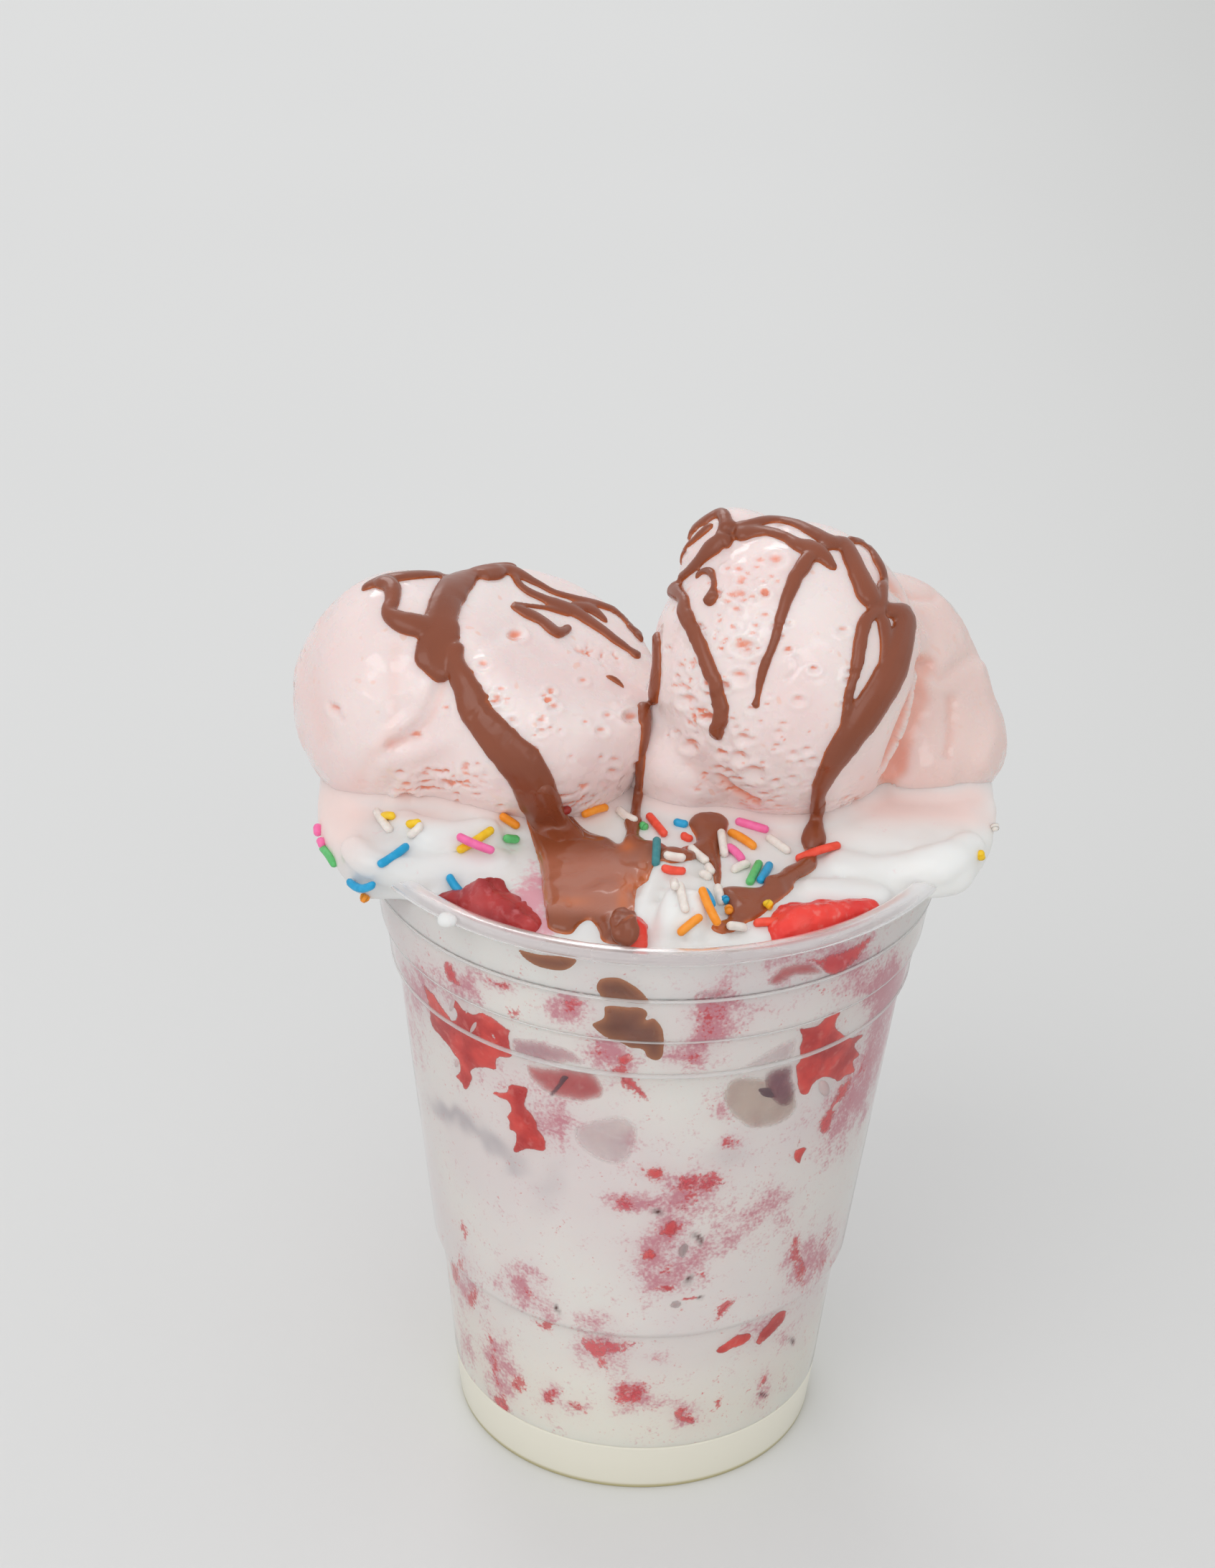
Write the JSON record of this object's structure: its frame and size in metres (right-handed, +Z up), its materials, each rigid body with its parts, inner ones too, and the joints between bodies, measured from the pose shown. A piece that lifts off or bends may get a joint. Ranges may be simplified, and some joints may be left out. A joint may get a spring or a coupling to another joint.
{
  "type": "strawberries with ice cream in a clear plastic cup",
  "caption": "Clear plastic cup of strawberries in cream under a ring of whipped cream with sprinkles, with scoops of strawberry ice cream and chocolate drizzle on top.",
  "frame": {"origin": "centre of the cup's foot, on the surface it stands on", "axes": "+Z up along the cup's axis; -Y is the front, +X is to the right seen from the front"},
  "size_m": [0.1142, 0.0993, 0.1592],
  "materials": {
    "clear_plastic": "thin clear plastic, glossy, milky where it is doubled at the lip and the foot",
    "strawberries_in_cream": "cream stained pink, with dark red strawberry pieces and some chocolate against the wall",
    "whipped_cream": "soft satin white",
    "ice_cream": "pale pink, pitted and torn, wet and satin where it melts",
    "strawberry": "juicy red cut strawberry",
    "chocolate": "milk chocolate drizzle, satin, thin and orange-brown at its edges",
    "sprinkles": "sugar rods in several plain colours"
  },
  "bodies": {
    "root": {"cup": "clear_plastic", "filling": "strawberries_in_cream", "whipped_cream": "whipped_cream", "scoop_left": "ice_cream", "scoop_right": "ice_cream", "strawberry_left": "strawberry", "strawberry_right": "strawberry", "strawberry_front": "strawberry"}
  },
  "joints": []
}
